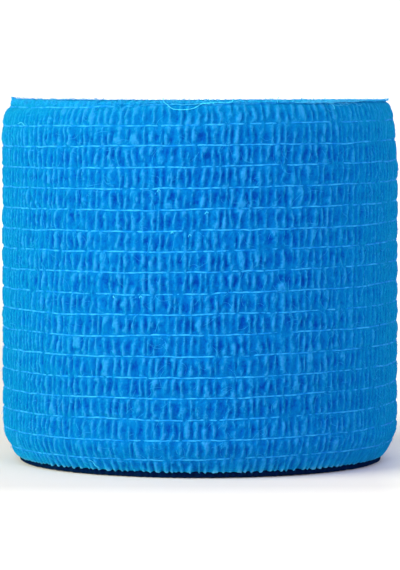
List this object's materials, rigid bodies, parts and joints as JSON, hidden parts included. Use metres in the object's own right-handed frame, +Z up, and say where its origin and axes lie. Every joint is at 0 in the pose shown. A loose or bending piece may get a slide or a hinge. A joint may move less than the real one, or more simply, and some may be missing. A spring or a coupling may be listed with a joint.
{
  "type": "cohesive bandage roll",
  "caption": "Blue crimped elastic cloth, self-sticking, wound without a core into a short roll that stands on its end, with fine elastic threads round it.",
  "frame": {"origin": "centre of the roll's box on the surface that it stands on", "axes": "+Z up along the roll's axis, -Y the side that faces the viewer, +Y the side where the cloth's outer cut end lies"},
  "size_m": [0.0552, 0.0556, 0.05],
  "materials": {
    "cohesive_cloth": "matte",
    "elastic_thread": "satin"
  },
  "bodies": {
    "root": {"bandage_roll": "cohesive_cloth"}
  },
  "joints": []
}
